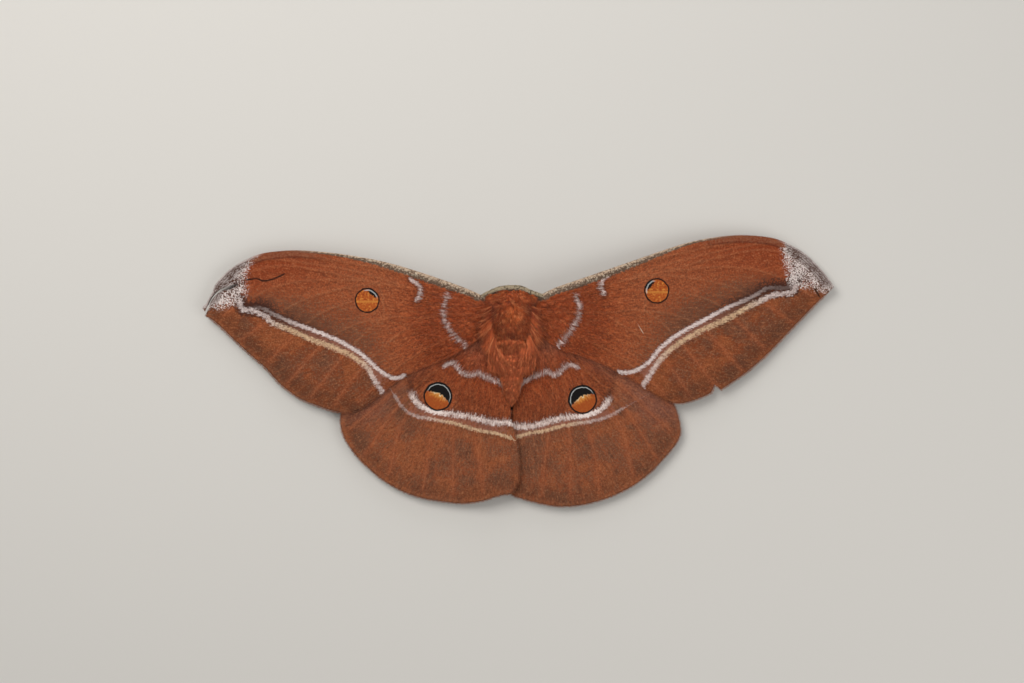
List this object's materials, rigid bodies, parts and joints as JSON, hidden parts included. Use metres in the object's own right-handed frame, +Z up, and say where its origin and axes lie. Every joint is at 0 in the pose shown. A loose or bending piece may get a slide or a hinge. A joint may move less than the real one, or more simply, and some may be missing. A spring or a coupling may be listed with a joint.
{
  "type": "model of an antheraea formosana silk moth",
  "caption": "Still, life-size model of a giant silk moth at rest, wings spread flat, standing on its six feet.",
  "frame": {"origin": "on the floor under the middle of the box round the whole moth", "axes": "+Z up from the feet, +Y the way the head points, +X to the moth's right, along the spread wings"},
  "size_m": [0.13, 0.0557, 0.0112],
  "materials": {
    "body_fur": "long soft orange-brown fur",
    "wing": "matt scaled red-brown wing membrane",
    "eye": "glossy dark compound eye",
    "antenna": "matt tan feathered feeler",
    "leg": "short red-brown fur over cuticle"
  },
  "bodies": {
    "root": {"thorax": "body_fur", "abdomen": "body_fur", "head": "body_fur", "palp_left": "body_fur", "palp_right": "body_fur", "eye_left": "eye", "eye_right": "eye", "antenna_left": "antenna", "antenna_right": "antenna", "foreleg_left": "leg", "foreleg_right": "leg", "midleg_left": "leg", "midleg_right": "leg", "hindleg_left": "leg", "hindleg_right": "leg", "forewing_left": "wing", "forewing_right": "wing", "hindwing_left": "wing", "hindwing_right": "wing"}
  },
  "joints": []
}
